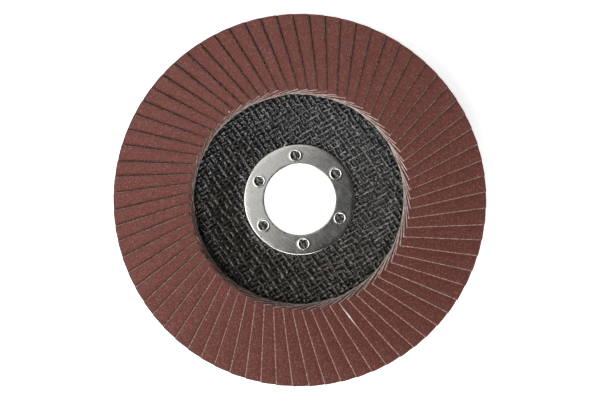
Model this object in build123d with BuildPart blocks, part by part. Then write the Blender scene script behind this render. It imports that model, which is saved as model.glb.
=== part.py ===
from build123d import *
import os
from math import asin, atan2, cos, degrees, pi, radians, sin, tan

# Flap disc for an angle grinder, flat (type 27) form, lying on the back of its hub with the
# abrasive side up. Millimetres and degrees. The origin is on the bore's axis, in the plane of
# the hub's back face, and +Z points towards the abrasive side.

# ---- Flaps: rectangles of coated abrasive cloth, each glued along one edge ----
disc_diameter = 115.0  # the flaps' outer ends are trimmed to this circle
flap_count = 72
flaps_per_node = 2
first_flap_angle = 2.34  # direction of the first flap, anticlockwise from +X
flap_inner_distance = 33.0  # from the axis to each flap's straight inner end
flap_thickness = 0.85
flap_lead = 9.5  # the free edge lies this far clockwise of the flap's own radius
flap_trail = 4.5  # and the glued edge this far anticlockwise of it
base_lean = 40.0  # slope of the flap where it leaves the glue
flap_gap = 0.04  # clearance that sets how flat a flap can lie on the next, at their inner ends

# ---- Backing plate: woven glass cloth in dark resin, pressed in one piece ----
plate_thickness = 2.8
hub_depth = 4.5  # how far the hub is set back from the rim
hub_margin = 2.5  # flat hub left outside the steel ring
plain_rim_width = 4.0  # flat rim left bare inside the flaps
flap_overhang = 4.5  # the flaps reach this far past the plate
plate_bend_radius = 3.0
plate_edge_radius = 0.6
first_yarn_period = 3.57
first_yarn_width = 1.9
first_yarn_angle = 125.0
second_yarn_period = 2.87
second_yarn_width = 1.5
second_yarn_angle = 30.0
yarn_relief = 0.35  # height of the yarns over the resin between them
yarn_root = 0.2  # how deep the yarns start below the resin's surface
weave_margin = 0.3  # plain resin left beside the ring and the flaps

# ---- Adhesive: a bed of epoxy that the flaps' lower edges stand in ----
bed_height = 1.3
bed_margin = 0.5  # bare plate left outside the bed
glue_under_flap = 0.25

# ---- Arbor ring: pressed steel, a flange on the front and a collar through the hub ----
bore_diameter = 22.23
ring_sheet = 0.8
flange_width = 6.4  # from the bore's wall to the flange's edge
flange_edge_radius = 0.35
inner_bend_radius = 0.4
lip_radius = 0.4  # the corner between bore and flange, coined nearly square
collar_flare = 1.0  # the collar's end is spread outwards by this much
flare_angle = 45.0  # and at this angle from the axis
ring_fit = 0.02  # clearance between the collar and the plate
lock_hole_count = 6
lock_hole_diameter = 3.2
lock_hole_funnel = 0.3
lock_hole_funnel_angle = 90.0
lock_hole_offset = 2.9  # from the bore's wall to the holes' centres
first_lock_hole_angle = 35.4

# ---- Sizes worked out from the ones above ----
disc_radius = disc_diameter / 2
bore_radius = bore_diameter / 2
flange_radius = bore_radius + flange_width
flange_top = plate_thickness + ring_sheet
collar_radius = bore_radius + ring_sheet
lock_circle_radius = bore_radius + lock_hole_offset
flare_spread = tan(radians(flare_angle))  # outwards, for each millimetre towards the back
flare_start = collar_flare / flare_spread  # height at which the bore's wall turns outwards
flare_height = flare_start + ring_sheet * tan(radians(flare_angle / 2))

hub_radius = flange_radius + hub_margin
rim_inner_radius = flap_inner_distance - plain_rim_width
plate_radius = disc_radius - flap_overhang
rim_front = plate_thickness + hub_depth
dish_angle = degrees(atan2(hub_depth, rim_inner_radius - hub_radius))
back_shift = plate_thickness * tan(radians(dish_angle / 2))

weave_inner_radius = flange_radius + weave_margin
weave_outer_radius = flap_inner_distance - weave_margin

flap_pitch_angle = 360 / flap_count
inner_pitch = 2 * pi * flap_inner_distance / flap_count
edge_lean = degrees(asin((flap_thickness + flap_gap) / inner_pitch))  # slope at the free edge
flap_run = flap_lead + flap_trail
flap_bend_radius = flap_run / (sin(radians(base_lean)) - sin(radians(edge_lean)))
flap_base_height = rim_front + glue_under_flap + flap_thickness / 2 * cos(radians(base_lean))
bend_centre_y = flap_trail - flap_bend_radius * sin(radians(base_lean))
bend_centre_z = flap_base_height - flap_bend_radius * cos(radians(base_lean))

bed_inner_radius = (flap_inner_distance**2 + flap_trail**2) ** 0.5
bed_outer_radius = plate_radius - bed_margin


def front_line(lift):
    """The dished front of the plate, raised by lift, from the weave's inner edge outwards."""
    return FilletPolyline(
        (weave_inner_radius, plate_thickness + lift),
        (hub_radius, plate_thickness + lift),
        (rim_inner_radius, rim_front + lift),
        (weave_outer_radius, rim_front + lift),
        radius=plate_bend_radius,
    )


def make_weave():
    """Two sets of crossing yarns that stand out of the plate's dished front."""
    with BuildPart() as weave:
        with BuildSketch(Plane.XZ):
            with BuildLine():
                root = front_line(-yarn_root)
                crest = front_line(yarn_relief)
                Line(root @ 0, crest @ 0)
                Line(root @ 1, crest @ 1)
            make_face()
        revolve(axis=Axis.Z)
        with BuildSketch(Plane.XY):
            add_yarns(first_yarn_period, first_yarn_width, first_yarn_angle)
            add_yarns(second_yarn_period, second_yarn_width, second_yarn_angle)
        extrude(amount=rim_front + yarn_relief, mode=Mode.INTERSECT)
    return weave.part


def add_yarns(period, width, angle):
    """Parallel strips across the whole woven circle, their length along the given angle."""
    length = 2 * weave_outer_radius
    count = int(length / period)
    with Locations(Rotation(0, 0, angle)):
        with GridLocations(1, period, 1, count):
            Rectangle(length, width)


def make_backing_plate():
    """The pressed plate: a flat hub with the ring's seat, a dished cone and a flat rim."""
    seat_radius = collar_radius + ring_fit
    seat_chamfer = inner_bend_radius + ring_fit
    with BuildPart() as backing_plate:
        with BuildSketch(Plane.XZ):
            with BuildLine():
                front = FilletPolyline(
                    (seat_radius + seat_chamfer, plate_thickness),
                    (hub_radius, plate_thickness),
                    (rim_inner_radius, rim_front),
                    (plate_radius, rim_front),
                    radius=plate_bend_radius,
                )
                back = FilletPolyline(
                    (seat_radius + flare_height * flare_spread, 0),
                    (hub_radius + back_shift, 0),
                    (rim_inner_radius + back_shift, hub_depth),
                    (plate_radius, hub_depth),
                    radius=plate_bend_radius,
                )
                Line(front @ 1, back @ 1)
                Polyline(
                    front @ 0,
                    (seat_radius, plate_thickness - seat_chamfer),
                    (seat_radius, flare_height),
                    back @ 0,
                )
            make_face()
        revolve(axis=Axis.Z)
        rim_edges = backing_plate.edges().filter_by(GeomType.CIRCLE)
        fillet(rim_edges.sort_by(SortBy.RADIUS)[-2:], radius=plate_edge_radius)
        add(make_weave())
    return backing_plate.part


def make_arbor_ring():
    """The pressed steel ring, its collar spread into the back of the plate like an eyelet."""
    with BuildPart() as arbor_ring:
        with BuildSketch(Plane.XZ) as section:
            with BuildLine():
                Polyline(
                    (bore_radius, flare_start),
                    (bore_radius, flange_top),
                    (flange_radius, flange_top),
                    (flange_radius, plate_thickness),
                    (collar_radius, plate_thickness),
                    (collar_radius, flare_height),
                    (collar_radius + flare_height * flare_spread, 0),
                    (bore_radius + collar_flare, 0),
                    close=True,
                )
            make_face()
            corners = section.vertices()
            fillet(corners.sort_by_distance((bore_radius, 0, flange_top))[0], lip_radius)
            fillet(corners.sort_by_distance((flange_radius, 0, flange_top))[0], flange_edge_radius)
            fillet(corners.sort_by_distance((collar_radius, 0, plate_thickness))[0], inner_bend_radius)
        revolve(axis=Axis.Z)
        with Locations(Plane.XY.offset(flange_top)):
            with PolarLocations(lock_circle_radius, lock_hole_count, first_lock_hole_angle):
                CounterSinkHole(
                    radius=lock_hole_diameter / 2,
                    counter_sink_radius=lock_hole_diameter / 2 + lock_hole_funnel,
                    counter_sink_angle=lock_hole_funnel_angle,
                    depth=ring_sheet,
                )
    return arbor_ring.part


def make_flap():
    """One flap on the +X radius: a bent strip, its glued edge at +Y and its free edge at -Y."""
    outer_arc = flap_bend_radius + flap_thickness / 2
    inner_arc = flap_bend_radius - flap_thickness / 2
    start_angle = 90 - base_lean
    arc_size = base_lean - edge_lean
    with BuildPart() as flap:
        with BuildSketch(Plane.YZ.offset(flap_inner_distance)):
            with BuildLine():
                face_arc = CenterArc((bend_centre_y, bend_centre_z), outer_arc, start_angle, arc_size)
                cloth_arc = CenterArc((bend_centre_y, bend_centre_z), inner_arc, start_angle, arc_size)
                Line(face_arc @ 0, cloth_arc @ 0)
                Line(face_arc @ 1, cloth_arc @ 1)
            make_face()
        extrude(amount=disc_radius - flap_inner_distance)
        flap_top = bend_centre_z + outer_arc
        with BuildSketch(Plane.XY):
            Circle(disc_radius)
        extrude(amount=flap_top, mode=Mode.INTERSECT)
    return flap.part


def make_adhesive_bed(all_flaps):
    """The epoxy ring on the plate's rim, with a slot where each flap stands in it."""
    with BuildPart() as adhesive_bed:
        with BuildSketch(Plane.XY.offset(rim_front)):
            Circle(bed_outer_radius)
            Circle(bed_inner_radius, mode=Mode.SUBTRACT)
        extrude(amount=bed_height)
        add(all_flaps, mode=Mode.SUBTRACT)
    return adhesive_bed.part


def write_piece(piece, name):
    """Label a finished piece and write it as one STEP file."""
    piece.label = name
    export_step(piece, f"parts/{name}.step")


os.makedirs("parts", exist_ok=True)
write_piece(make_backing_plate(), "backing_plate")
write_piece(make_arbor_ring(), "arbor_ring")

flap = make_flap()
all_flaps = []
for first in range(0, flap_count, flaps_per_node):
    with BuildPart() as flap_pair:
        for index in range(first, min(first + flaps_per_node, flap_count)):
            with Locations(Rotation(0, 0, first_flap_angle + index * flap_pitch_angle)):
                add(flap)
    all_flaps.extend(flap_pair.solids())
    write_piece(flap_pair.part, f"flap_pair_{first // flaps_per_node + 1:02d}")
write_piece(make_adhesive_bed(all_flaps), "adhesive_bed")
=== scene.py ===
# %% [markdown]
# # A flap disc
#
# A flap disc is what an angle grinder carries to blend welds and take off rust. Seventy-two
# strips of abrasive cloth are glued round a dished plate, each one lying on the next like
# roof tiles, and a pressed steel ring in the middle takes the grinder's spindle. The solid
# model is loaded first as a fixed frame, and every piece below is built around it in metres.

# %% Load the frame
from math import asin, atan2, cos, pi, radians, sin, tau

import bmesh
import bpy
import numpy as np
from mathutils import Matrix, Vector


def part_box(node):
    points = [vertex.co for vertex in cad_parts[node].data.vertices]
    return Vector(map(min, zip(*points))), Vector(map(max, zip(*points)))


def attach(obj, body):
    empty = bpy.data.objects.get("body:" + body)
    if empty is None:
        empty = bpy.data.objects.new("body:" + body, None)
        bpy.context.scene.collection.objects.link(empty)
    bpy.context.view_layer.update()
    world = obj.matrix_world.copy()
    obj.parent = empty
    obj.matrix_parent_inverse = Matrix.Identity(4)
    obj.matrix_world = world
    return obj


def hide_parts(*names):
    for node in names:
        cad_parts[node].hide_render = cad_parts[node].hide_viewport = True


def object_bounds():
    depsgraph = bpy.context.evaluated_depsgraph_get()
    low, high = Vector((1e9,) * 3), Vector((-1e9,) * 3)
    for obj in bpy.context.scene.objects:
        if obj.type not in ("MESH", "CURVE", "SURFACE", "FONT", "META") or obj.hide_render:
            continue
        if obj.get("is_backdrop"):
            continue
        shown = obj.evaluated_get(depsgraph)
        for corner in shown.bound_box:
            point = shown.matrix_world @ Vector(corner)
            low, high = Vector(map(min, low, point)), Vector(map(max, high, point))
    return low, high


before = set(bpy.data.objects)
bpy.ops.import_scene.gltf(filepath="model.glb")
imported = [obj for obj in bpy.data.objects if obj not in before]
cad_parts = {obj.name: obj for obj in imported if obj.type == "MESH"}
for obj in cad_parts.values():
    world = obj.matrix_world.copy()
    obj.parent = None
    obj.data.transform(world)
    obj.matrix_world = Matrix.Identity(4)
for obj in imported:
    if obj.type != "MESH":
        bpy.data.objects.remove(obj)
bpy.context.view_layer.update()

# %% [markdown]
# ## Sizes
#
# The looks have to sit exactly where the solids are, so the sizes below are the disc's own.
# Where a size can be read off a solid's box it is, and the rest are written once, here or
# beside the piece that they shape. One millimetre is named, because everything on this
# object is a few of them.

# %% Driving sizes
MM = 0.001
flap_overhang = 4.5 * MM
disc_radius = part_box("backing_plate")[1].x + flap_overhang
plate_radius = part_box("backing_plate")[1].x
rim_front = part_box("adhesive_bed")[0].z
flange_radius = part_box("arbor_ring")[1].x
flange_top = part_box("arbor_ring")[1].z
bore_radius = 11.115 * MM
ring_sheet = 0.8 * MM
inner_bend = 0.4 * MM  # between the collar's outside and the flange's back
collar_flare = 1.0 * MM  # the collar's end is spread outwards by this much
flare_reach = 2.1 * MM  # from the bore to the outside of the spread end
flare_height = 1.32 * MM  # where the collar's outside starts to spread
plate_thickness = 2.8 * MM
hub_depth = 4.5 * MM  # how far the hub is set back from the rim
hub_margin = 2.5 * MM  # flat hub left outside the steel ring
hub_radius = flange_radius + hub_margin
flap_inner = 33.0 * MM
plain_rim_width = 4.0 * MM  # flat rim left bare inside the flaps
rim_inner_radius = flap_inner - plain_rim_width
print("disc radius", round(disc_radius / MM, 2), "mm, rim front", round(rim_front / MM, 2), "mm")

# %% [markdown]
# ## Helpers for shader nodes and meshes
#
# A material is a small graph. Writing each node with its inputs on one line keeps the graph
# readable, so `add_node` makes a node, sets its options and plugs in values or other sockets.
# Meshes are made from arrays of points and faces, which is quick and exact for strips,
# lathed forms and woven relief, where the shape follows a formula.

# %% Shader helpers
def fill_inputs(tree, node, inputs):
    """Fill a node's inputs, by name or number, with values or with other nodes' sockets."""
    for name, value in inputs.items():
        if isinstance(value, bpy.types.NodeSocket):
            tree.links.new(value, node.inputs[name])
        else:
            node.inputs[name].default_value = value


def add_node(tree, kind, inputs=None, **options):
    """Add one node to a tree, by its kind without the prefix; set its options, fill its inputs."""
    node = tree.nodes.new("ShaderNode" + kind)
    for name, value in options.items():
        setattr(node, name, value)
    fill_inputs(tree, node, inputs or {})
    return node


def math_node(tree, operation, first, second=0.0):
    """The result of one sum on two values or sockets."""
    return add_node(tree, "Math", {0: first, 1: second}, operation=operation).outputs[0]


def mix_colour(tree, factor, low, high):
    """A colour between low and high."""
    return add_node(tree, "Mix", {0: factor, 6: low, 7: high}, data_type="RGBA").outputs[2]


def scaled(tree, vector, factor):
    """A colour or a vector, times a value."""
    inputs = {0: vector, "Scale": factor}
    return add_node(tree, "VectorMath", inputs, operation="SCALE").outputs["Vector"]


def remap(tree, value, from_low, from_high, to_low=0.0, to_high=1.0):
    """Stretch a value from one range to another, clamped at its ends."""
    inputs = {"Value": value, "From Min": from_low, "From Max": from_high}
    inputs.update({"To Min": to_low, "To Max": to_high})
    return add_node(tree, "MapRange", inputs).outputs["Result"]


def noise(tree, place, scale, detail=2.0, roughness=0.5, output="Fac"):
    """Cloudy noise over a place, as a value or as a colour."""
    inputs = {"Vector": place, "Scale": scale, "Detail": detail, "Roughness": roughness}
    return add_node(tree, "TexNoise", inputs).outputs[output]


def wobbled(tree, place, scale, reach, detail=2.0):
    """A place pushed about by noise, by reach at the most."""
    push = scaled(tree, noise(tree, place, scale, detail, output="Color"), reach)
    return add_node(tree, "VectorMath", {0: place, 1: push}).outputs["Vector"]


def rotated(tree, place, angle):
    """A place turned about the Z axis."""
    inputs = {"Vector": place, "Angle": angle}
    return add_node(tree, "VectorRotate", inputs, rotation_type="Z_AXIS").outputs["Vector"]


def bump(tree, height, distance):
    """A normal from a height, where distance is the real height of a full step."""
    return add_node(tree, "Bump", {"Height": height, "Distance": distance}).outputs["Normal"]


def new_group(name, inputs, outputs):
    """An empty shader group with named sockets, and its input and output nodes.

    An input's kind follows from its default: one number, a vector's three or a colour's four.
    """
    kinds = {1: "NodeSocketFloat", 3: "NodeSocketVector", 4: "NodeSocketColor"}
    group = bpy.data.node_groups.new(name, "ShaderNodeTree")
    for label, default in inputs.items():
        kind = kinds[np.size(default)]
        socket = group.interface.new_socket(label, in_out="INPUT", socket_type=kind)
        socket.default_value = default
    for label, kind in outputs.items():
        group.interface.new_socket(label, in_out="OUTPUT", socket_type=kind)
    return group, group.nodes.new("NodeGroupInput"), group.nodes.new("NodeGroupOutput")


def use_group(tree, group, inputs):
    """Place a group in a material with its own values."""
    return add_node(tree, "Group", inputs, node_tree=group)


def empty_tree(owner):
    """The node tree of a material or a world, with nothing in it."""
    owner.use_nodes = True
    owner.node_tree.nodes.clear()
    return owner.node_tree


def new_material(name):
    """A material with its node tree, its Principled shader and the object's coordinates."""
    material = bpy.data.materials.new(name)
    tree = empty_tree(material)
    shader = add_node(tree, "BsdfPrincipled")
    add_node(tree, "OutputMaterial", {"Surface": shader.outputs["BSDF"]})
    place = add_node(tree, "TexCoord").outputs["Object"]
    return material, tree, shader, place


# %% Mesh helpers
def add_object(name, data):
    """A new object in the scene that shows a mesh, a lamp or a camera."""
    thing = bpy.data.objects.new(name, data)
    bpy.context.scene.collection.objects.link(thing)
    return thing


def make_piece(name, points, faces, materials, face_slots=None, sharp_angle=35):
    """A mesh object in the shared frame from points, faces and a material number for each face."""
    mesh = bpy.data.meshes.new(name)
    mesh.from_pydata([tuple(p) for p in points], [], [tuple(int(i) for i in f) for f in faces])
    for material in materials:
        mesh.materials.append(material)
    if face_slots is not None:
        mesh.polygons.foreach_set("material_index", np.asarray(face_slots, np.int32))
    solid = bmesh.new()
    solid.from_mesh(mesh)
    bmesh.ops.remove_doubles(solid, verts=solid.verts, dist=0.001 * MM)
    bmesh.ops.recalc_face_normals(solid, faces=solid.faces)
    solid.to_mesh(mesh)
    solid.free()
    mesh.polygons.foreach_set("use_smooth", np.ones(len(mesh.polygons), bool))
    mesh.set_sharp_from_angle(angle=radians(sharp_angle))
    return add_object(name, mesh)


def grid_faces(rows, columns, closed=False):
    """Quads over a grid of points stored row by row, joined end to end where it is closed."""
    row = columns * np.arange(rows - 1)[:, None]
    column = np.arange(columns if closed else columns - 1)[None, :]
    after = (column + 1) % columns
    corners = (row + column, row + after, row + columns + after, row + columns + column)
    return np.stack(corners, axis=-1).reshape(-1, 4)


def join_meshes(parts):
    """One array of points and one of faces from several parts, each a pair of such arrays."""
    starts = np.cumsum([0] + [len(points) for points, _ in parts])
    points = np.concatenate([points for points, _ in parts])
    faces = np.concatenate([faces + start for (_, faces), start in zip(parts, starts)])
    return points, faces


def turned(points, angle):
    """Points turned about the bore's axis."""
    turn = np.array([[cos(angle), -sin(angle), 0], [sin(angle), cos(angle), 0], [0, 0, 1]])
    return np.asarray(points, float) @ turn.T


def circle_points(radius, height, count, start=0.0):
    """A ring of points round the bore's axis at one radius and one height."""
    turn = start + np.arange(count) * tau / count
    return np.stack([radius * np.cos(turn), radius * np.sin(turn), np.full(count, height)], axis=-1)


def round_corner(radius, height, size, start, end, count):
    """Points of a round corner in a section, from its middle and by angles from straight up."""
    return [(radius + size * sin(a), height + size * cos(a)) for a in np.linspace(start, end, count)]


def ripple(value, wavelength, rng, terms=5):
    """A smooth random wave along a coordinate: a few sines with seeded phases, about -1 to 1."""
    total = np.zeros(np.shape(value))
    for _ in range(terms):
        length = wavelength * rng.uniform(0.6, 1.9)
        total = total + np.sin(tau * value / length + rng.uniform(0, tau))
    return total / terms**0.5


# %% [markdown]
# ## Shared surface effects
#
# Three effects come back in several materials, so each is a node group with named sockets.
# *Grit* scatters crystals of different shades over a body colour. *Threads* draws the
# over-and-under of plain cloth. *Specks* gives a mask of rare small spots, for rust on steel
# and dust on cloth. They use procedural cells and noise, so they need no textures and no UVs.

# %% Grit group
def make_grit_group():
    """Crystals bonded to cloth: a colour that varies from grain to grain, and their height."""
    group, given, result = new_group(
        "grit",
        {
            "Vector": (0, 0, 0),
            "Grain Size": 0.0003,
            "Body": (0.13, 0.03, 0.02, 1),
            "Pale Grain": (0.3, 0.2, 0.17, 1),
            "Dark Grain": (0.05, 0.02, 0.015, 1),
            "Contrast": 1.0,
        },
        {"Color": "NodeSocketColor", "Height": "NodeSocketFloat"},
    )
    place, contrast = given.outputs["Vector"], given.outputs["Contrast"]
    scale = math_node(group, "DIVIDE", 1.0, given.outputs["Grain Size"])
    cells = add_node(group, "TexVoronoi", {"Vector": place, "Scale": scale})
    pick = add_node(group, "SeparateColor", {"Color": cells.outputs["Color"]})
    pale = math_node(group, "MULTIPLY", remap(group, pick.outputs["Red"], 0.72, 1.0), contrast)
    dark = math_node(group, "MULTIPLY", remap(group, pick.outputs["Green"], 0.6, 1.0), contrast)
    patches = noise(group, place, math_node(group, "DIVIDE", scale, 6.0), 3.0)
    colour = mix_colour(group, pale, given.outputs["Body"], given.outputs["Pale Grain"])
    colour = mix_colour(group, dark, colour, given.outputs["Dark Grain"])
    shaded = scaled(group, colour, remap(group, patches, 0.3, 0.7, 0.97, 1.03))
    height = remap(group, cells.outputs["Distance"], 0.0, 0.7, 1.0, 0.0)
    fill_inputs(group, result, {"Color": shaded, "Height": height})
    return group


# %% Threads group
def make_threads_group():
    """Plain cloth: two sets of crossing threads, as a height and as a shade from gap to crown."""
    group, given, result = new_group(
        "threads",
        {"Vector": (0, 0, 0), "Turn": 0.0, "Warp Pitch": 0.0005, "Weft Pitch": 0.0005},
        {"Height": "NodeSocketFloat", "Crown": "NodeSocketFloat"},
    )
    wander = wobbled(group, given.outputs["Vector"], 220.0, 0.0006, 1.0)
    place = rotated(group, wander, given.outputs["Turn"])
    axes = add_node(group, "SeparateXYZ", {"Vector": place})
    along = math_node(group, "DIVIDE", axes.outputs["X"], given.outputs["Warp Pitch"])
    across = math_node(group, "DIVIDE", axes.outputs["Y"], given.outputs["Weft Pitch"])
    ridges = []
    for distance in (along, across):
        wave = math_node(group, "SINE", math_node(group, "MULTIPLY", distance, pi))
        ridges.append(math_node(group, "ABSOLUTE", wave))
    warp, weft = ridges
    cell = math_node(group, "ADD", math_node(group, "FLOOR", along), math_node(group, "FLOOR", across))
    over = math_node(group, "MODULO", math_node(group, "ABSOLUTE", cell), 2.0)
    over_warp = math_node(group, "MULTIPLY", over, warp)
    over_weft = math_node(group, "MULTIPLY", math_node(group, "SUBTRACT", 1.0, over), weft)
    height = math_node(group, "ADD", over_warp, over_weft)
    crown = math_node(group, "MULTIPLY", warp, weft)
    fill_inputs(group, result, {"Height": height, "Crown": crown})
    return group


# %% Specks group
def make_specks_group():
    """Rare small spots: a mask that is one inside a spot and zero elsewhere."""
    group, given, result = new_group(
        "specks",
        {"Vector": (0, 0, 0), "Spacing": 0.002, "Size": 0.2, "Share": 0.1},
        {"Mask": "NodeSocketFloat"},
    )
    scale = math_node(group, "DIVIDE", 1.0, given.outputs["Spacing"])
    fine = math_node(group, "MULTIPLY", scale, 4.0)
    reach = math_node(group, "MULTIPLY", given.outputs["Spacing"], 0.25)
    place = wobbled(group, given.outputs["Vector"], fine, reach)
    cells = add_node(group, "TexVoronoi", {"Vector": place, "Scale": scale})
    pick = add_node(group, "SeparateColor", {"Color": cells.outputs["Color"]})
    chosen = math_node(group, "LESS_THAN", pick.outputs["Blue"], given.outputs["Share"])
    growth = math_node(group, "ADD", 0.4, pick.outputs["Red"])
    limit = math_node(group, "MULTIPLY", given.outputs["Size"], growth)
    inside = math_node(group, "LESS_THAN", cells.outputs["Distance"], limit)
    fill_inputs(group, result, {"Mask": math_node(group, "MULTIPLY", chosen, inside)})
    return group


grit = make_grit_group()
threads = make_threads_group()
specks = make_specks_group()
print("shared effects:", [group.name for group in (grit, threads, specks)])

# %% [markdown]
# ## Abrasive cloth
#
# The working face is brown fused crystals in a reddish size coat: a soft sheen, with pale and
# dark grains that only show close to. The cut edges show the layers, and the cloth's own pale
# threads stand out there. The back is the cloth itself, stiff with glue, tan and plainly woven.

# %% Abrasive face and its cut
def add_grains(tree, place, size, contrast, body, pale, dark):
    """The colour and the height of grit with its own grain size and shades."""
    shades = {"Body": body, "Pale Grain": pale, "Dark Grain": dark}
    inputs = {"Vector": place, "Grain Size": size, "Contrast": contrast, **shades}
    crystals = use_group(tree, grit, inputs)
    return crystals.outputs["Color"], crystals.outputs["Height"]


def make_abrasive_face():
    """The working face: grains in a size coat, with a few specks of dust."""
    material, tree, shader, place = new_material("abrasive_face")
    shades = (0.143, 0.0365, 0.0252, 1), (0.24, 0.098, 0.082, 1), (0.095, 0.028, 0.02, 1)
    colour, height = add_grains(tree, place, 0.00023, 1.7, *shades)
    dust = use_group(tree, specks, {"Vector": place, "Spacing": 0.0026, "Size": 0.07, "Share": 0.05})
    dusty = mix_colour(tree, dust.outputs["Mask"], colour, (0.34, 0.25, 0.22, 1))
    fill_inputs(tree, shader, {"Base Color": dusty, "Normal": bump(tree, height, 0.0001)})
    rough = remap(tree, height, 0.0, 1.0, 0.5, 0.36)
    fill_inputs(tree, shader, {"Roughness": rough, "Specular IOR Level": 0.3})
    return material


def make_grit_edge():
    """The cut through the grit layer, paler than the face because its crystals are broken."""
    material, tree, shader, place = new_material("grit_edge")
    shades = (0.16, 0.06, 0.045, 1), (0.42, 0.3, 0.26, 1), (0.06, 0.02, 0.015, 1)
    colour, height = add_grains(tree, place, 0.0003, 1.0, *shades)
    cut = bump(tree, height, 0.0001)
    fill_inputs(tree, shader, {"Base Color": colour, "Normal": cut, "Roughness": 0.75})
    return material


# %% Cloth edges and cloth back
def make_cloth_edge(name, pale, stain_from):
    """Cut cloth: pale thread ends, stained here and there by the red-brown size coat."""
    material, tree, shader, place = new_material(name)
    stain = remap(tree, noise(tree, place, 1100.0, 4.0, 0.65), stain_from, stain_from + 0.14)
    stained = (pale[0] * 0.42, pale[1] * 0.2, pale[2] * 0.16, 1)
    ends = noise(tree, place, 3500.0)
    colour = mix_colour(tree, stain, pale, stained)
    shaded = scaled(tree, colour, remap(tree, ends, 0.35, 0.65, 0.65, 1.05))
    fill_inputs(tree, shader, {"Base Color": shaded, "Normal": bump(tree, ends, 0.0003)})
    fill_inputs(tree, shader, {"Roughness": 0.85})
    return material


def make_cloth_back():
    """The cloth's back: plain weave, sized with brown glue."""
    material, tree, shader, place = new_material("cloth_back")
    pitches = {"Warp Pitch": 0.0007, "Weft Pitch": 0.0006}
    weave = use_group(tree, threads, {"Vector": place, "Turn": 0.6, **pitches})
    colour = mix_colour(tree, weave.outputs["Crown"], (0.13, 0.075, 0.05, 1), (0.36, 0.25, 0.18, 1))
    woven = bump(tree, weave.outputs["Height"], 0.0001)
    fill_inputs(tree, shader, {"Base Color": colour, "Normal": woven, "Roughness": 0.8})
    return material


abrasive_face = make_abrasive_face()
grit_edge = make_grit_edge()
cloth_edge = make_cloth_edge("cloth_edge", (0.76, 0.64, 0.59, 1), 0.52)
# The dark lower band of a free edge: size-coat stain, and also painted shade at the foot of the step.
stained_shaded_edge = make_cloth_edge("stained_shaded_edge", (0.26, 0.135, 0.105, 1), 0.45)
cloth_back = make_cloth_back()
flap_materials = [abrasive_face, grit_edge, cloth_edge, stained_shaded_edge, cloth_back]
FACE, GRIT_EDGE, CLOTH_EDGE, STAINED_SHADED_EDGE, CLOTH_BACK = range(5)
print("flap materials:", [material.name for material in flap_materials])

# %% [markdown]
# ## Flaps
#
# Each flap is a rectangle of cloth glued along one long edge. It leaves the glue steeply and
# bends over, so its free edge lies on the flap before it. A bend of one radius gives that in
# a formula. The cloth and the grit on it are made as two thin curved slabs, because where a
# flap is cut the pale cloth frays a little past the brittle grit, and that pale line is what
# draws the fan of the disc. The free edge has two bands: a pale one of clean thread ends, and
# below it a dark one that is partly size coat and dust stain and partly painted shade, the
# shadow at the foot of the step onto the next flap. Small seeded differences in length, lift
# and skew keep the seventy-two flaps from looking stamped out.

# %% Flap shape
flap_count = 72
first_flap_angle = radians(2.34)
flap_thickness = 0.85 * MM
half_thickness = flap_thickness / 2
flap_lead = 9.5 * MM  # the free edge lies this far clockwise of the flap's own radius
flap_trail = 4.5 * MM  # and the glued edge this far anticlockwise of it
flap_gap = 0.04 * MM
base_lean = radians(40)
edge_lean = asin((flap_thickness + flap_gap) / (tau * flap_inner / flap_count))
glue_under_flap = 0.25 * MM
base_height = rim_front + glue_under_flap + half_thickness * cos(base_lean)
bend_radius = (flap_lead + flap_trail) / (sin(base_lean) - sin(edge_lean))
bend_centre_y = flap_trail - bend_radius * sin(base_lean)
bend_centre_z = base_height - bend_radius * cos(base_lean)
arc_length = bend_radius * (base_lean - edge_lean)
length_steps = 52
arc_steps = 15
nose_drop = 0.12 * MM  # how far the free edge rolls down onto the next flap
nose_squeeze = 0.28  # and how much thinner the cloth is pressed there
fan_growth = -0.12 * MM  # the circle of the flaps' inner ends is a little tight
fan_shift_x = -0.29 * MM  # and off the axis
fan_shift_y = 0.34 * MM
# Heights over the middle of the thickness, each with its share of the layer's slant.
cloth_levels = ((0.08 * MM, 0), (-0.06 * MM, 0.45), (-half_thickness, 1))
grit_levels = ((half_thickness, 0), (0.04 * MM, 1))
# For each layer, sizes at the (free, inner) edge.
cloth_fray, cloth_slant, cloth_inset = (0.03 * MM, 0.13 * MM), (0.22 * MM, 0.2 * MM), (0.0, 0.0)
grit_fray, grit_slant, grit_inset = (0.03 * MM, 0.06 * MM), (0.08 * MM, 0.12 * MM), (0.02 * MM, 0.06 * MM)
free_run, inner_run = 24 * MM, 16 * MM  # lengths of a flap's edges, for the waves of their fray
free_wave, inner_wave, rim_wave = 0.9 * MM, 1.3 * MM, 1.1 * MM
fray_terms = 7
rng = np.random.default_rng(72)
print("flap: bend radius", round(bend_radius / MM, 1), "mm, arc", round(arc_length / MM, 1), "mm")


def flap_point(along, arc, height, habit):
    """Points of one flap: along its length, along its bend from the glue, through its thickness."""
    lean = base_lean - arc / bend_radius
    y = bend_centre_y + (bend_radius + height) * np.sin(lean)
    z = bend_centre_z + (bend_radius + height) * np.cos(lean)
    free = np.clip(arc / arc_length, 0, 1) ** 2
    outward = np.clip((along - flap_inner) / (disc_radius - flap_inner), 0, 1)
    lift = habit["lift"] + habit["droop"] * outward**2 + habit["wave"](along)
    z = z + free * lift - nose_drop * free**3
    y = y + free * habit["skew"] * (along - flap_inner)
    return np.stack(np.broadcast_arrays(along, y, z), axis=-1)


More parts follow.
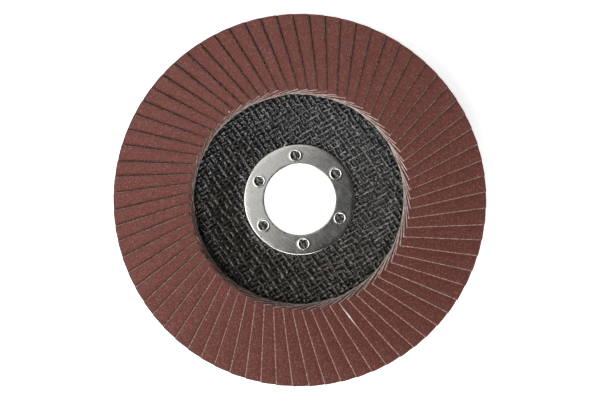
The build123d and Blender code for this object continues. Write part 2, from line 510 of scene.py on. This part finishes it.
def curved_slab(levels, fray, slant, inset, habit, seed):
    """One layer of a flap as grids at falling levels, frayed, slanted and set in at its edges."""
    wander = np.random.default_rng(seed)
    outward = np.linspace(0, 1, length_steps + 1)
    across = np.linspace(0, 1, arc_steps + 1)
    along_grid, arc_grid = np.meshgrid(outward, across, indexing="ij")
    free_edge = fray[0] * ripple(outward * free_run, free_wave, wander, fray_terms) - inset[0]
    inner_fray = 0.5 + 0.5 * ripple(across * inner_run, inner_wave, wander, fray_terms)
    inner_edge = fray[1] * inner_fray * habit["fringe"] - inset[1]
    rim_edge = fray[1] * (0.3 - 0.3 * ripple(across * inner_run, rim_wave, wander, fray_terms))
    layers = []
    for level, share in levels:
        arc = arc_grid * (arc_length + free_edge[:, None] + share * slant[0])
        height = level * (1 - nose_squeeze * arc_grid**6)
        start = flap_inner + habit["short"] - inner_edge[None, :] - share * slant[1]
        y = flap_point(disc_radius, arc, height, habit)[..., 1]
        end = np.sqrt(disc_radius**2 - y**2) - rim_edge[None, :]
        layers.append(flap_point(start + along_grid * (end - start), arc, height, habit))
    return layers


def slab_mesh(layers):
    """Points and grouped faces of a closed slab.

    The groups are its top, its bottom, and for each step down the closed sides and the free one.
    """
    rows, columns = length_steps + 1, arc_steps + 1
    count = rows * columns
    index = np.arange(count).reshape(rows, columns)
    border = np.concatenate([index[:, 0], index[-1, 1:], index[-2::-1, -1], index[0, -2:0:-1]])
    flat = [layer.reshape(-1, 3) for layer in layers]
    middles = [layer[border] for layer in flat[1:-1]]
    points = np.concatenate([flat[0], flat[-1], *middles])
    rings = [border]
    for number in range(len(middles)):
        rings.append(2 * count + number * len(border) + np.arange(len(border)))
    rings.append(border + count)
    top = grid_faces(rows, columns)
    groups = [top, (top + count)[:, ::-1]]
    first_free = length_steps + arc_steps
    free = slice(first_free, first_free + length_steps)
    for above, below in zip(rings, rings[1:]):
        band = np.stack([above, below, np.roll(below, -1), np.roll(above, -1)], axis=-1)
        groups += [np.delete(band, free, axis=0), band[free]]
    return points, groups


# %% Build the flaps, two to a piece like the solids they stand for
def flap_habit():
    """How one flap differs from its neighbours."""
    phase = rng.uniform(0, tau)
    length = rng.uniform(9, 16) * MM
    height = rng.uniform(0.005, 0.02) * MM
    return {
        "lift": rng.uniform(-0.04, 0.0) * MM,
        "droop": rng.uniform(-1.0, -0.78) * MM,
        "skew": rng.normal(0, 0.0045),
        "short": rng.uniform(-0.12, 0.22) * MM,
        "fringe": rng.uniform(0.6, 1.5),
        "wave": lambda along: height * np.sin(tau * along / length + phase),
    }


def make_flap(index):
    """Points, faces and face materials of one flap, turned to its place in the fan."""
    habit = flap_habit()
    angle = first_flap_angle + index * tau / flap_count
    habit["short"] += fan_growth + fan_shift_x * cos(angle) + fan_shift_y * sin(angle)
    cloth = curved_slab(cloth_levels, cloth_fray, cloth_slant, cloth_inset, habit, 1000 + index)
    grains = curved_slab(grit_levels, grit_fray, grit_slant, grit_inset, habit, 2000 + index)
    # The lowest band of the free edge gets the dark material that is stain and painted shade.
    cloth_kinds = (CLOTH_EDGE, CLOTH_BACK, CLOTH_EDGE, CLOTH_EDGE, CLOTH_EDGE, STAINED_SHADED_EDGE)
    grit_kinds = (FACE, FACE, GRIT_EDGE, GRIT_EDGE)
    slabs, kinds = [], []
    for layers, materials in ((cloth, cloth_kinds), (grains, grit_kinds)):
        points, groups = slab_mesh(layers)
        slabs.append((points, np.concatenate(groups)))
        for group, material in zip(groups, materials):
            kinds += [material] * len(group)
    points, faces = join_meshes(slabs)
    return turned(points, angle), faces, kinds


flap_nodes = sorted(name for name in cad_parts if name.startswith("flap_pair_"))
flaps_per_node = flap_count // len(flap_nodes)
for number, node in enumerate(flap_nodes):
    first = number * flaps_per_node
    flaps = [make_flap(index) for index in range(first, first + flaps_per_node)]
    points, faces = join_meshes([flap[:2] for flap in flaps])
    kinds = [kind for flap in flaps for kind in flap[2]]
    piece = make_piece(f"abrasive_flaps_{number + 1:02d}", points, faces, flap_materials, kinds)
    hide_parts(node)
    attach(piece, "root")
print("flaps:", flap_count, "in", len(flap_nodes), "pieces of", len(piece.data.polygons), "faces")

# %% [markdown]
# ## Backing plate
#
# The plate is glass cloth soaked in black resin and pressed hot in one piece. The resin sinks
# between the yarns, so the front is a dish of small dark pits between rounded, glossy yarns;
# the pits' colour is near black for the resin and also as painted shade.
# Its shape is a lathed section. The relief is a height over the flat pattern: each yarn is a
# rounded ridge that dives under every second crossing, and a second, deeper layer of cloth
# shows through half a pitch aside. A fine ring-by-ring grid carries that height as real form.

# %% Yarn relief
yarn_sets = (
    {"turn": radians(35), "pitch": 3.57 * MM, "width": 0.56 * MM},
    {"turn": radians(120), "pitch": 2.87 * MM, "width": 0.5 * MM},
)
crown_level = 0.8
lower_level = 0.58  # crowns of the second cloth, which lies half a pitch aside and deeper
lower_knot = 0.26  # and how far its crossings stand up into the openings of the first
crossing_dive = 0.13  # how far a yarn rises over one crossing and sinks under the next
yarn_wander, yarn_wander_length = 0.1 * MM, 5 * MM  # each set's bends along its yarns
cloth_drift, cloth_drift_length = 0.22 * MM, 9 * MM  # and its shifts over the plate
pool_size, coarse_lump, fine_lump = 1.6 * MM, 1.1 * MM, 0.45 * MM  # of the resin
mess_span, mess_size = 40 * MM, 14 * MM  # the surface gets rougher to one side, in patches


def cell_noise(first, second, seed):
    """A fixed random number from 0 to 1 for every pair of whole numbers."""
    table = np.random.default_rng(seed).random((64, 64))
    return table[first.astype(int) % 64, second.astype(int) % 64]


def lumps(x, y, size, seed):
    """Rounded lumps of about one size, -1 to 1, the same in every direction."""
    draws = np.random.default_rng(seed)
    total = np.zeros(np.shape(x))
    for _ in range(14):
        toward, length = draws.uniform(0, tau), size * draws.uniform(0.8, 2.2)
        distance = x * cos(toward) + y * sin(toward)
        total = total + np.sin(tau * distance / length + draws.uniform(0, tau))
    return np.clip(total / 5.5, -1, 1)


def yarn_lines(x, y, shift, seed):
    """For each set of yarns: the distance to the nearest yarn's middle, and that yarn's number."""
    lines = []
    for number, yarns in enumerate(yarn_sets):
        across = x * cos(yarns["turn"]) + y * sin(yarns["turn"])
        along = y * cos(yarns["turn"]) - x * sin(yarns["turn"])
        draws = np.random.default_rng(seed + number)
        across = across + ripple(along, yarn_wander_length, draws) * yarn_wander
        across = across + lumps(x, y, cloth_drift_length, seed + 10 + number) * cloth_drift
        cell = across / yarns["pitch"] + shift
        count = np.round(cell)
        lines.append(((cell - count) * yarns["pitch"], count, yarns))
    return lines


def yarn_height(x, y):
    """Height of the resin-soaked cloth over the deepest pits, about 0 to 1."""
    total = np.zeros(np.shape(x))
    for shift, seed in ((0.0, 40), (0.5, 60)):
        lines = yarn_lines(x, y, shift, seed)
        share = [np.cos(pi * offset / yarns["pitch"]) ** 2 for offset, count, yarns in lines]
        knot = share[0] * share[1]
        for number, (offset, count, yarns) in enumerate(lines):
            other_count = lines[1 - number][1]
            luck = cell_noise(count, other_count, seed + number)
            width = yarns["width"] * (0.78 + 0.44 * luck)
            crown = np.clip(1 - np.abs(offset / width) ** 2.4, 0, 1) ** 0.5
            over = np.mod(count + other_count + number, 2) * 2 - 1
            if shift:
                level = lower_level + lower_knot * knot * over + 0.3 * (luck - 0.5)
            else:
                level = crown_level + (crossing_dive * over + 0.3 * (luck - 0.6)) * share[1 - number]
            total = np.maximum(total, crown * level)
    pools = 0.1 + 0.12 * lumps(x, y, pool_size, 80)
    mess = 0.5 + 0.5 * np.clip((x - y) / mess_span + lumps(x, y, mess_size, 82), -1, 1)
    total = np.maximum(total, pools) + lumps(x, y, coarse_lump, 81) * 0.09
    total = total + lumps(x, y, fine_lump, 83) * (0.09 + 0.15 * mess)
    return np.clip(total, 0, 1.1)


def smooth_step(value, low, high):
    """Zero below low, one above high and a smooth rise between."""
    share = np.clip((value - low) / (high - low), 0, 1)
    return share * share * (3 - 2 * share)


# %% Plate section
relief_depth = 0.9 * MM
crest_lift = 0.34 * MM  # how far a full crown stands out of the plain dish
hidden_relief = 0.35 * MM  # depth of the pits under the steel ring
ring_fit = 0.02 * MM
plate_bore = bore_radius + ring_sheet + ring_fit
lathe_steps = 760
weave_outer = flap_inner + 0.4 * MM
ring_margin = 0.5 * MM  # the weave's grid starts this far inside the flange's edge
hidden_radii = np.arange(plate_bore + 0.5 * MM, flange_radius - ring_margin, 0.45 * MM)
woven_radii = np.arange(flange_radius - ring_margin, weave_outer, 0.19 * MM)
rim_radii = [weave_outer + 0.5 * MM, 42 * MM, plate_radius - 0.6 * MM]
front_radii = np.concatenate([hidden_radii, woven_radii, rim_radii])


def dish_front(radius):
    """Height of the plate's front at each radius: flat hub, dished cone with soft bends, flat rim."""
    soft = 1.2 * MM
    spread = np.asarray(radius)[..., None] + np.linspace(-soft, soft, 9)
    share = np.clip((spread - hub_radius) / (rim_inner_radius - hub_radius), 0, 1)
    return plate_thickness + hub_depth * share.mean(axis=-1)


def plate_front_points():
    """The woven front, ring by ring, with the height of the cloth at each point."""
    turn = np.arange(lathe_steps) * tau / lathe_steps
    radius, angle = np.meshgrid(front_radii, turn, indexing="ij")
    x, y = radius * np.cos(angle), radius * np.sin(angle)
    cloth = yarn_height(x, y)
    outside_ring = smooth_step(radius, flange_radius - 0.2 * MM, flange_radius + 0.5 * MM)
    inside_flaps = 1 - smooth_step(radius, weave_outer - 0.5 * MM, weave_outer)
    relief = (cloth - 1) * relief_depth + crest_lift
    height = dish_front(radius) + outside_ring * inside_flaps * relief
    height = height - (1 - outside_ring) * (1 - cloth) * hidden_relief
    return np.stack([x, y, height], axis=-1), cloth


def plate_rest_section():
    """Radius and height round the plate's edge, back and bore, after the front."""
    edge, bend, back_shift = 0.6 * MM, 1.2 * MM, 0.66 * MM
    upper = round_corner(plate_radius - edge, rim_front - edge, edge, 0.3, pi / 2, 4)
    lower = round_corner(plate_radius - edge, hub_depth + edge, edge, pi / 2, pi, 5)
    cone = np.linspace(rim_inner_radius + back_shift + bend, hub_radius + back_shift - bend, 16)
    radii = (46 * MM, 40 * MM, *cone)
    behind = [(r, float(dish_front(r - back_shift)) - plate_thickness) for r in radii]
    seat = [(15 * MM, 0.0), (bore_radius + flare_reach + 0.05 * MM, 0.0)]
    seat += [(plate_bore, flare_height + 0.01 * MM), (plate_bore, plate_thickness - inner_bend - ring_fit)]
    return upper + lower + behind + seat


# %% Resin materials
def make_woven_resin():
    """Black resin over glass yarn: grey, glossy crowns; pits near black from resin and painted shade."""
    material, tree, shader, place = new_material("woven_resin")
    cloth = add_node(tree, "Attribute", attribute_name="cloth_height").outputs["Fac"]
    crown = remap(tree, cloth, 0.4, 0.95)
    fibres = noise(tree, place, 2200.0, 3.0, 0.6)
    patches = noise(tree, place, 330.0, 3.0)
    # Patches of tint plus a painted gradient of light: darker and cooler towards the top, lighter and
    # warmer towards the bottom.
    painted_gradient_y = add_node(tree, "SeparateXYZ", {"Vector": place}).outputs["Y"]
    patches_and_painted_gradient = math_node(tree, "ADD", patches, math_node(tree, "MULTIPLY", painted_gradient_y, -6.0))
    warmth_and_painted_light = remap(tree, patches_and_painted_gradient, 0.42, 0.7)
    tint = mix_colour(tree, warmth_and_painted_light, (0.03, 0.0285, 0.029, 1), (0.07, 0.056, 0.037, 1))
    # The pits' near black is the resin there and also painted shade in the recesses.
    colour = mix_colour(tree, crown, (0.007, 0.007, 0.0065, 1), tint)
    shaded = scaled(tree, colour, remap(tree, fibres, 0.3, 0.7, 0.5, 1.6))
    fill_inputs(tree, shader, {"Base Color": shaded, "Normal": bump(tree, fibres, 0.00006)})
    rough = remap(tree, patches, 0.35, 0.65, 0.06, 0.26)
    fill_inputs(tree, shader, {"Roughness": rough, "Specular IOR Level": 0.72})
    return material


def make_back_resin():
    """The plate's back: the same cloth pressed flat against the mould, so only faintly woven."""
    material, tree, shader, place = new_material("back_resin")
    pitches = {"Warp Pitch": 0.00357, "Weft Pitch": 0.00287}
    weave = use_group(tree, threads, {"Vector": place, "Turn": -0.61, **pitches})
    patches = noise(tree, place, 260.0, 4.0)
    fade = remap(tree, patches, 0.2, 0.6, 0.5, 1.0)
    crown = math_node(tree, "MULTIPLY", weave.outputs["Crown"], fade)
    colour = mix_colour(tree, crown, (0.009, 0.009, 0.009, 1), (0.035, 0.035, 0.036, 1))
    woven = bump(tree, weave.outputs["Height"], 0.00015)
    rough = remap(tree, patches, 0.3, 0.7, 0.35, 0.6)
    fill_inputs(tree, shader, {"Base Color": colour, "Normal": woven, "Roughness": rough})
    return material


woven_resin = make_woven_resin()
back_resin = make_back_resin()

# %% Build the plate
front_points, cloth_height = plate_front_points()
rest_rings = [circle_points(radius, height, lathe_steps) for radius, height in plate_rest_section()]
plate_points = np.concatenate([front_points.reshape(-1, 3), *rest_rings])
ring_count = len(front_radii) + len(rest_rings)
# One row more than there are rings, so that the last one closes onto the first.
plate_faces = grid_faces(ring_count + 1, lathe_steps, closed=True) % len(plate_points)
woven_faces = (len(front_radii) - 2) * lathe_steps
plate_slots = np.where(np.arange(len(plate_faces)) < woven_faces, 0, 1)
resins = [woven_resin, back_resin]
plate = make_piece("glass_cloth_plate", plate_points, plate_faces, resins, plate_slots, sharp_angle=60)
heights = np.zeros(len(plate.data.vertices), np.float32)
heights[: cloth_height.size] = cloth_height.reshape(-1)
plate.data.attributes.new("cloth_height", "FLOAT", "POINT").data.foreach_set("value", heights)
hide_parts("backing_plate")
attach(plate, "root")
print("plate:", len(plate_faces), "faces, relief", round(relief_depth / MM, 2), "mm")

# %% [markdown]
# ## Arbor ring
#
# The ring is cut and drawn from steel sheet. Its bore has a rolled lip, its rim a rounded
# edge, and six holes in the flange let resin key it to the plate. Punching leaves each hole
# with a small funnel and a low burr round it. A boolean would leave ragged shading there, so
# each sixth of the flange is one patch of quads that runs from the hole's circle out to the
# patch's border.

# %% Ring sizes
lock_hole_count = 6
lock_hole_radius = 1.36 * MM
funnel_width = 0.34 * MM
funnel_depth = 0.2 * MM
burr_width, burr_height = 0.24 * MM, 0.04 * MM  # the metal pushed up round each hole
lock_circle = bore_radius + 2.9 * MM
first_lock_hole = radians(35.4)
lip_radius = 0.3 * MM
edge_radius = 0.3 * MM
arc_points = 36  # along each of a patch's two arcs
side_points = 10  # along each of its two straight sides
flange_droop = 0.01 * MM  # the flange is very slightly domed
patch_inner = bore_radius + lip_radius
patch_outer = flange_radius - edge_radius


def flange_height(radius):
    """The flange's front, part of a wide shallow dome that is highest beside the lip."""
    share = (radius**2 - patch_inner**2) / (patch_outer**2 - patch_inner**2)
    return flange_top - flange_droop * share


def patch_border():
    """Radius and angle round the border of one sixth, anticlockwise from its outer start."""
    half = pi / lock_hole_count
    arc = np.linspace(-half, half, arc_points, endpoint=False)
    side = np.linspace(patch_inner, patch_outer, side_points, endpoint=False)
    outer = [(patch_outer, a) for a in arc]
    down = [(patch_outer + patch_inner - r, half) for r in side]
    inner = [(patch_inner, -a) for a in arc]
    up = [(r, -half) for r in side]
    return outer + down + inner + up


def patch_rings(section):
    """Rings of points from the hole's circle to the border, for (share, radius growth, drop) steps.

    A drop of None stands for the flange's flat back.
    """
    border = patch_border()
    rings = []
    for share, growth, drop in section:
        hole = lock_hole_radius + growth
        ring = []
        for radius, angle in border:
            x, y = radius * cos(angle) - lock_circle, radius * sin(angle)
            toward = atan2(y, x)
            hole_x, hole_y = hole * cos(toward), hole * sin(toward)
            x = hole_x + (x - hole_x) * share + lock_circle
            y = hole_y + (y - hole_y) * share
            front = flange_height((x * x + y * y) ** 0.5)
            ring.append((x, y, plate_thickness if drop is None else front - drop))
        rings.append(ring)
    return rings


# %% Build the ring
def make_ring_mesh():
    """Points and faces of the flange's six patches and of the lathed lip, collar and edge."""
    rise = funnel_depth + burr_height
    funnel = [
        (0, funnel_width * (1 - cos(a)), funnel_depth - rise * sin(a))
        for a in np.linspace(0, pi / 2, 7)
    ]
    burr = [
        (0, funnel_width + burr_width * t, -burr_height * (1 - smooth_step(t, 0, 1)))
        for t in (0.25, 0.5, 0.75, 1.0)
    ]
    spread = [(share, funnel_width + burr_width, 0.0) for share in (0.12, 0.3, 0.6, 1.0)]
    under = [(share, 0.0, None) for share in (1.0, 0.5, 0)]
    rings = patch_rings(under + funnel + burr + spread)
    patch = np.concatenate(rings)
    patch_faces = grid_faces(len(rings), len(rings[0]), closed=True)
    parts = []
    for hole in range(lock_hole_count):
        parts.append((turned(patch, first_lock_hole + hole * tau / lock_hole_count), patch_faces))
    edge_middle = flange_height(patch_outer) - edge_radius
    edge = round_corner(patch_outer, edge_middle, edge_radius, 0, pi / 2, 7)
    edge += [(flange_radius, plate_thickness + 0.05 * MM), (flange_radius - 0.05 * MM, plate_thickness)]
    edge += [(patch_outer, plate_thickness)]
    lip = round_corner(patch_inner, flange_top - lip_radius, lip_radius, 0, -pi / 2, 13)
    # The collar's end is spread outwards at the back, and its outside bends into the flange.
    collar = bore_radius + ring_sheet
    lip += [(bore_radius, collar_flare), (bore_radius + collar_flare, 0.0)]
    lip += [(bore_radius + flare_reach, 0.0), (collar, flare_height)]
    lip += [(collar, plate_thickness - inner_bend)]
    lip += [(bore_radius + ring_sheet * 0.7, plate_thickness - 0.1 * MM), (patch_inner, plate_thickness)]
    steps = arc_points * lock_hole_count
    start_angle = first_lock_hole - pi / lock_hole_count
    for profile, order in ((edge, -1), (lip, 1)):
        rows = [circle_points(radius, height, steps, start_angle) for radius, height in profile]
        parts.append((np.concatenate(rows), grid_faces(len(rows), steps, closed=True)[:, ::order]))
    return join_meshes(parts)


def make_pressed_steel():
    """Bright pressed steel: fine scratches one way, a few spots of rust and cloudy handling marks."""
    material, tree, shader, place = new_material("pressed_steel")
    stretch = {0: rotated(tree, place, radians(42)), 1: (300.0, 3800.0, 300.0)}
    stretched = add_node(tree, "VectorMath", stretch, operation="MULTIPLY").outputs["Vector"]
    scratches = noise(tree, stretched, 1.0, 3.0)
    clouds = noise(tree, place, 420.0, 3.0)
    rust = use_group(tree, specks, {"Vector": place, "Spacing": 0.0019, "Size": 0.12, "Share": 0.22})
    rusty = rust.outputs["Mask"]
    steel = scaled(tree, (0.6, 0.59, 0.56), remap(tree, scratches, 0.3, 0.7, 0.9, 1.08))
    colour = mix_colour(tree, rusty, steel, (0.2, 0.12, 0.03, 1))
    metallic = math_node(tree, "SUBTRACT", 1.0, math_node(tree, "MULTIPLY", rusty, 0.6))
    brushed = remap(tree, scratches, 0.3, 0.7, 0.14, 0.18)
    rough = math_node(tree, "ADD", brushed, remap(tree, clouds, 0.35, 0.7, -0.01, 0.025))
    fill_inputs(tree, shader, {"Base Color": colour, "Metallic": metallic, "Roughness": rough})
    return material


ring_points, ring_faces = make_ring_mesh()
pressed_steel = make_pressed_steel()
arbor_ring = make_piece("steel_arbor_ring", ring_points, ring_faces, [pressed_steel], sharp_angle=50)
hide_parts("arbor_ring")
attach(arbor_ring, "root")
print("ring:", len(ring_faces), "faces,", lock_hole_count, "lock holes")

# %% [markdown]
# ## Adhesive
#
# The bed of epoxy that holds the flaps is already right as a solid, with a slot for every
# flap, so it stays and only gets its finish: dark, glossy, and uneven where it was squeezed
# up between the flaps.

# %% Epoxy on the bed
def make_epoxy():
    """Dark glossy glue with an uneven surface."""
    material, tree, shader, place = new_material("dark_epoxy")
    swell = noise(tree, place, 500.0, 4.0)
    thin = remap(tree, swell, 0.3, 0.7)
    colour = mix_colour(tree, thin, (0.012, 0.01, 0.009, 1), (0.035, 0.026, 0.02, 1))
    rough = remap(tree, swell, 0.3, 0.7, 0.22, 0.45)
    uneven = bump(tree, swell, 0.0004)
    fill_inputs(tree, shader, {"Base Color": colour, "Roughness": rough, "Normal": uneven})
    return material


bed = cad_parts["adhesive_bed"]
bed.data.materials.clear()
bed.data.materials.append(make_epoxy())
print("adhesive bed:", len(bed.data.polygons), "faces, kept as the solid")

# %% [markdown]
# ## Loose fibres
#
# Cut cloth sheds fibres. One short pale thread lies over the ring's edge, caught in the weave,
# a fleck of fluff lies on one flap, and one flap's free edge has frayed into three strands.
# Each is a thin tube along a few points, thicker where the fluff is.

# %% Fibre helpers
def make_thread_material():
    """Pale thread with a little fuzz."""
    material, tree, shader, place = new_material("thread")
    fuzz = noise(tree, place, 4000.0)
    colour = mix_colour(tree, fuzz, (0.6, 0.5, 0.46, 1), (0.85, 0.78, 0.74, 1))
    fill_inputs(tree, shader, {"Base Color": colour, "Roughness": 0.8})
    return material


def tube(path, radii, sides=7):
    """Points and faces of a thin closed tube along a path, with one radius for each point of it."""
    path = [Vector(p) for p in path]
    points = []
    for number, (point, radius) in enumerate(zip(path, radii)):
        before, after = path[max(number - 1, 0)], path[min(number + 1, len(path) - 1)]
        forward = (after - before).normalized()
        side = forward.cross(Vector((0, 0, 1))).normalized()
        up = side.cross(forward)
        for step in range(sides):
            angle = tau * step / sides
            points.append(point + side * radius * cos(angle) + up * radius * 0.6 * sin(angle))
    faces = grid_faces(len(path), sides, closed=True).tolist()
    faces.append(list(range(sides))[::-1])
    faces.append([len(points) - sides + step for step in range(sides)])
    return points, faces


def add_fibre(name, path, radii):
    """One fibre as a scene piece of its own."""
    points, faces = tube(path, radii)
    mesh = bpy.data.meshes.new(name)
    mesh.from_pydata(points, [], faces)
    mesh.materials.append(thread_material)
    fibre = add_object(name, mesh)
    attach(fibre, "root")


def on_flap(index, along, beside, lift):
    """A point on one flap's face, from its distances along and beside the flap's own radius."""
    height = half_thickness + lift
    lean = asin((beside - bend_centre_y) / (bend_radius + height))
    plain = {"lift": -0.02 * MM, "droop": -0.89 * MM, "skew": 0.0, "wave": lambda along: 0.0}
    point = flap_point(along, (base_lean - lean) * bend_radius, height, plain)
    return Vector(turned(point, first_flap_angle + index * tau / flap_count))


# %% Loose fibres
thread_material = make_thread_material()
thread_start = Vector((-4.95 * MM, 16.5 * MM, flange_top + 0.12 * MM))
thread_steps = ((0, 0, 0), (0.25, 0.5, 0.1), (0.42, 1.0, 0.0), (0.75, 1.5, -0.35))
thread_path = [thread_start + Vector(step) * MM for step in thread_steps]
add_fibre("loose_thread", thread_path, [0.13 * MM] * len(thread_path))

fleck_flap, fleck_along, fleck_beside = 28, 34.0, -8.3  # along and beside its radius, in mm
fleck_steps = ((-1.5, 0.04), (-0.7, 0.17), (0.0, 0.21), (0.7, 0.15), (1.5, 0.04))
fleck_path, fleck_radii = [], []
for step, radius in fleck_steps:
    along, beside = fleck_along + 0.2 * step, fleck_beside + 0.1 * step
    fleck_path.append(on_flap(fleck_flap, along * MM, beside * MM, 0.02 * MM))
    fleck_radii.append(radius * MM)
add_fibre("fleck", fleck_path, fleck_radii)

frayed_flap, frayed_beside = 61, -9.62  # just past that flap's free edge, in mm
strand_ends = ((33.3, 41.6), (34.6, 39.2), (35.6, 38.4))  # distances from the axis in mm
strand_points = 15
thin_radius, fluff_radius = 0.04 * MM, 0.15 * MM  # at a strand's ends, and what its middle adds
fibre_rng = np.random.default_rng(5)
for strand, (start, end) in enumerate(strand_ends):
    along = np.linspace(start, end, strand_points)
    offsets = frayed_beside + 0.05 * strand + 0.11 * ripple(along, 2.4, fibre_rng)
    path = [on_flap(frayed_flap, a * MM, b * MM, -0.12 * MM) for a, b in zip(along, offsets)]
    radii = thin_radius + fluff_radius * np.sin(np.linspace(0, pi, strand_points)) ** 2
    add_fibre(f"frayed_edge_thread_{strand + 1}", path, radii)
print("fibres: a thread, a fleck and", len(strand_ends), "frayed strands")

# %% [markdown]
# ## Floor, light and camera
#
# The disc lies on a plain white floor. The light is soft and comes mostly from the left, so
# cut edges that face left are bright and those that face right are in shade. The camera
# looks almost straight down with a long lens.

# %% Floor
def make_floor():
    """A wide pale floor that keeps a soft shadow and shows white to the camera and in reflections."""
    material = bpy.data.materials.new("pale_floor")
    tree = empty_tree(material)
    paper = add_node(tree, "BsdfDiffuse", {"Color": (0.8, 0.8, 0.8, 1)})
    glow = add_node(tree, "Emission", {"Color": (1, 1, 1, 1), "Strength": 0.82})
    both = add_node(tree, "AddShader", {0: paper.outputs[0], 1: glow.outputs[0]})
    path = add_node(tree, "LightPath")
    seen = math_node(tree, "MAXIMUM", path.outputs["Is Camera Ray"], path.outputs["Is Glossy Ray"])
    seen = math_node(tree, "MAXIMUM", seen, path.outputs["Is Transmission Ray"])
    shown = add_node(tree, "MixShader", {0: seen, 1: paper.outputs[0], 2: both.outputs[0]})
    add_node(tree, "OutputMaterial", {"Surface": shown.outputs[0]})
    mesh = bpy.data.meshes.new("floor")
    half = 3.0
    corners = [(-half, -half, 0), (half, -half, 0), (half, half, 0), (-half, half, 0)]
    mesh.from_pydata(corners, [], [(0, 1, 2, 3)])
    mesh.materials.append(material)
    return add_object("floor", mesh)


make_floor()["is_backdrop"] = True

# %% World and lamps
world = bpy.data.worlds.new("studio")
bpy.context.scene.world = world
tree = empty_tree(world)
path = add_node(tree, "LightPath")
fill = add_node(tree, "Background", {"Color": (1, 1, 1, 1), "Strength": 0.03})
backdrop = add_node(tree, "Background", {"Color": (1, 1, 1, 1), "Strength": 1.0})
mix_inputs = {0: path.outputs["Is Camera Ray"], 1: fill.outputs[0], 2: backdrop.outputs[0]}
shown = add_node(tree, "MixShader", mix_inputs)
add_node(tree, "OutputWorld", {"Surface": shown.outputs[0]})


def add_lamp(name, azimuth, elevation, distance, size, watts):
    """A square soft lamp that looks at the disc from a compass direction."""
    light = bpy.data.lights.new(name, "AREA")
    light.size = size
    light.energy = watts
    lamp = add_object(name, light)
    toward = Vector((cos(azimuth) * cos(elevation), sin(azimuth) * cos(elevation), sin(elevation)))
    lamp.location = toward * distance
    lamp.rotation_euler = toward.to_track_quat("Z", "Y").to_euler()
    return lamp


add_lamp("key", radians(200), radians(58), 0.65, 0.4, 2.4)
add_lamp("front", radians(266), radians(45), 0.65, 0.35, 2.55)
add_lamp("glint", radians(148), radians(37), 0.7, 0.32, 0.75)
panel_length, panel_width, panel_height = 0.8, 0.46, 0.7
panel_azimuth, panel_offset = radians(158), 0.395  # the overhead panel hangs aside, level
overhead = add_lamp("overhead", 0.0, radians(90), panel_height, panel_length, 1.18)
overhead.data.shape = "RECTANGLE"
overhead.data.size_y = panel_width
overhead.location.x = panel_offset * cos(panel_azimuth)
overhead.location.y = panel_offset * sin(panel_azimuth)
overhead.rotation_euler = (0, 0, panel_azimuth)

# %% Camera
camera_place = Vector((-0.0083, 0.0175, 0.5066))
aim = Vector((-0.00008, 0.00031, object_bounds()[1][2]))
focal_length = 95.86
camera_data = bpy.data.cameras.new("camera")
camera_data.lens = focal_length
camera_data.sensor_width = 36.0
camera_data.clip_start = 0.01
camera = add_object("camera", camera_data)
camera.location = camera_place
sight = (aim - camera_place).normalized()
camera.rotation_euler = (asin(sight.y), atan2(-sight.x, -sight.z), 0)
bpy.context.scene.camera = camera
bpy.context.scene.view_settings.view_transform = "Standard"
print("camera at", [round(v, 3) for v in camera.location])
